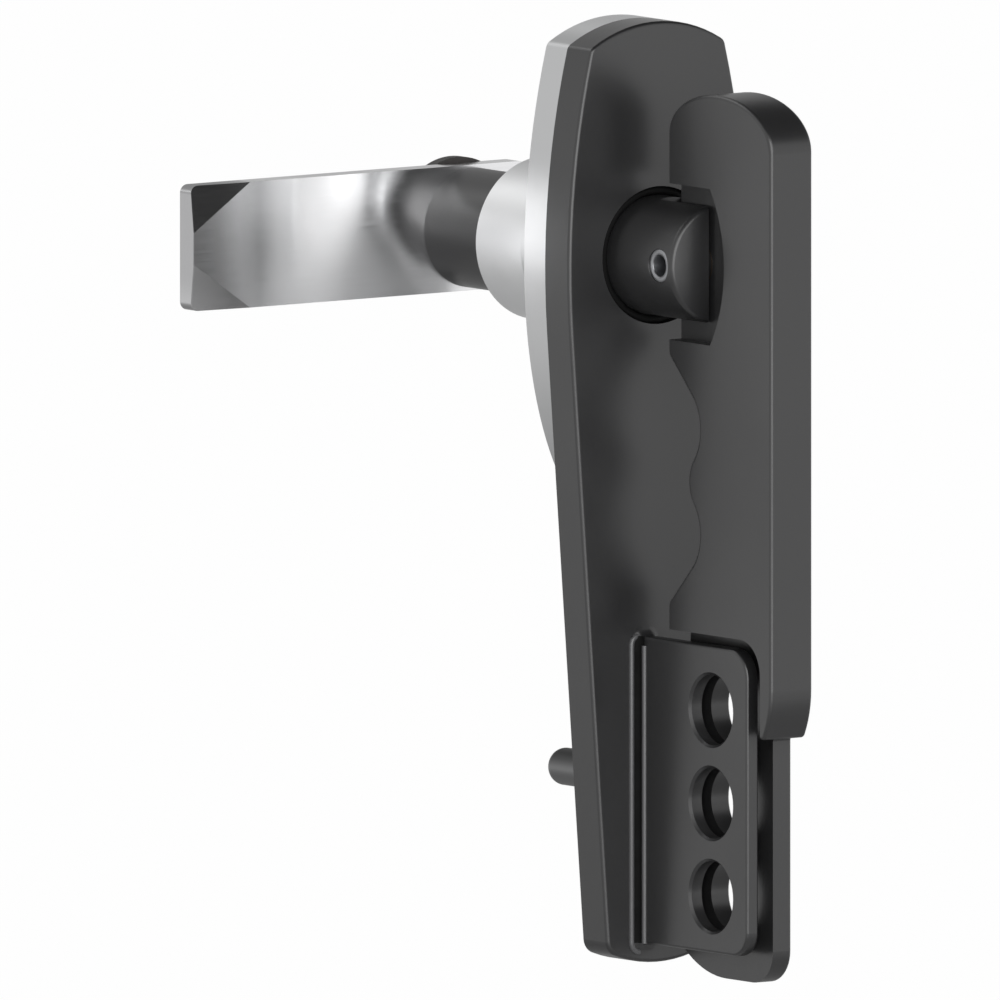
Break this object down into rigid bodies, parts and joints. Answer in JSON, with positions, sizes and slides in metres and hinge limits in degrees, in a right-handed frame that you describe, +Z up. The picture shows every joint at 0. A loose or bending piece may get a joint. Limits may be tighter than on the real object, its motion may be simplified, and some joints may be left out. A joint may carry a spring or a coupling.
{
  "type": "swing handle lock",
  "caption": "Padlockable swing handle lock for a cabinet door, with a lifting blade, a turning spindle and a flat cam.",
  "frame": {"origin": "centre of the collar, at the back face of the flange that seats on the door panel", "axes": "+Y along the collar and spindle into the cabinet, +Z up the blade towards its heel, +X to the right seen from the front"},
  "size_m": [0.0729, 0.1001, 0.1525],
  "materials": {
    "black_paint": "glossy black coating on die-cast metal",
    "die_cast": "satin plated die casting",
    "plated": "bright plated steel",
    "steel": "zinc-plated steel",
    "bronze": "sintered bronze",
    "seal_rubber": "matt sealing rubber",
    "bush_plastic": "dark bearing plastic",
    "black_steel": "black oxide steel"
  },
  "bodies": {
    "housing": {"base_plate": "black_paint", "mounting_flange": "die_cast", "base_screws": "steel", "locating_stud": "black_paint", "front_bush": "bush_plastic", "front_seal": "seal_rubber", "rear_bush": "bush_plastic", "panel_seal": "seal_rubber", "base_seal": "seal_rubber", "thrust_washer": "bush_plastic", "wave_washer": "steel"},
    "rotor": {"spindle": "black_paint", "spindle_seal": "seal_rubber", "spindle_circlip": "steel", "stop_pin": "steel", "pivot_pin": "steel", "cam_spacer": "black_paint", "cam": "plated", "cam_washer": "black_steel", "spring_washer": "steel", "cam_bolt": "steel"},
    "blade": {"handle_blade": "black_paint", "pivot_bush": "bronze", "friction_washers": "bush_plastic"}
  },
  "joints": [
    {"name": "spindle_turn", "type": "hinge", "parent": "housing", "child": "rotor", "pos_m": [0, 0, 0], "axis": [0, -1, 0], "range_deg": [0, 90]},
    {"name": "blade_lift", "type": "hinge", "parent": "rotor", "child": "blade", "pos_m": [0, -0.0255, 0], "axis": [-1, 0, 0], "range_deg": [0, 22]}
  ]
}
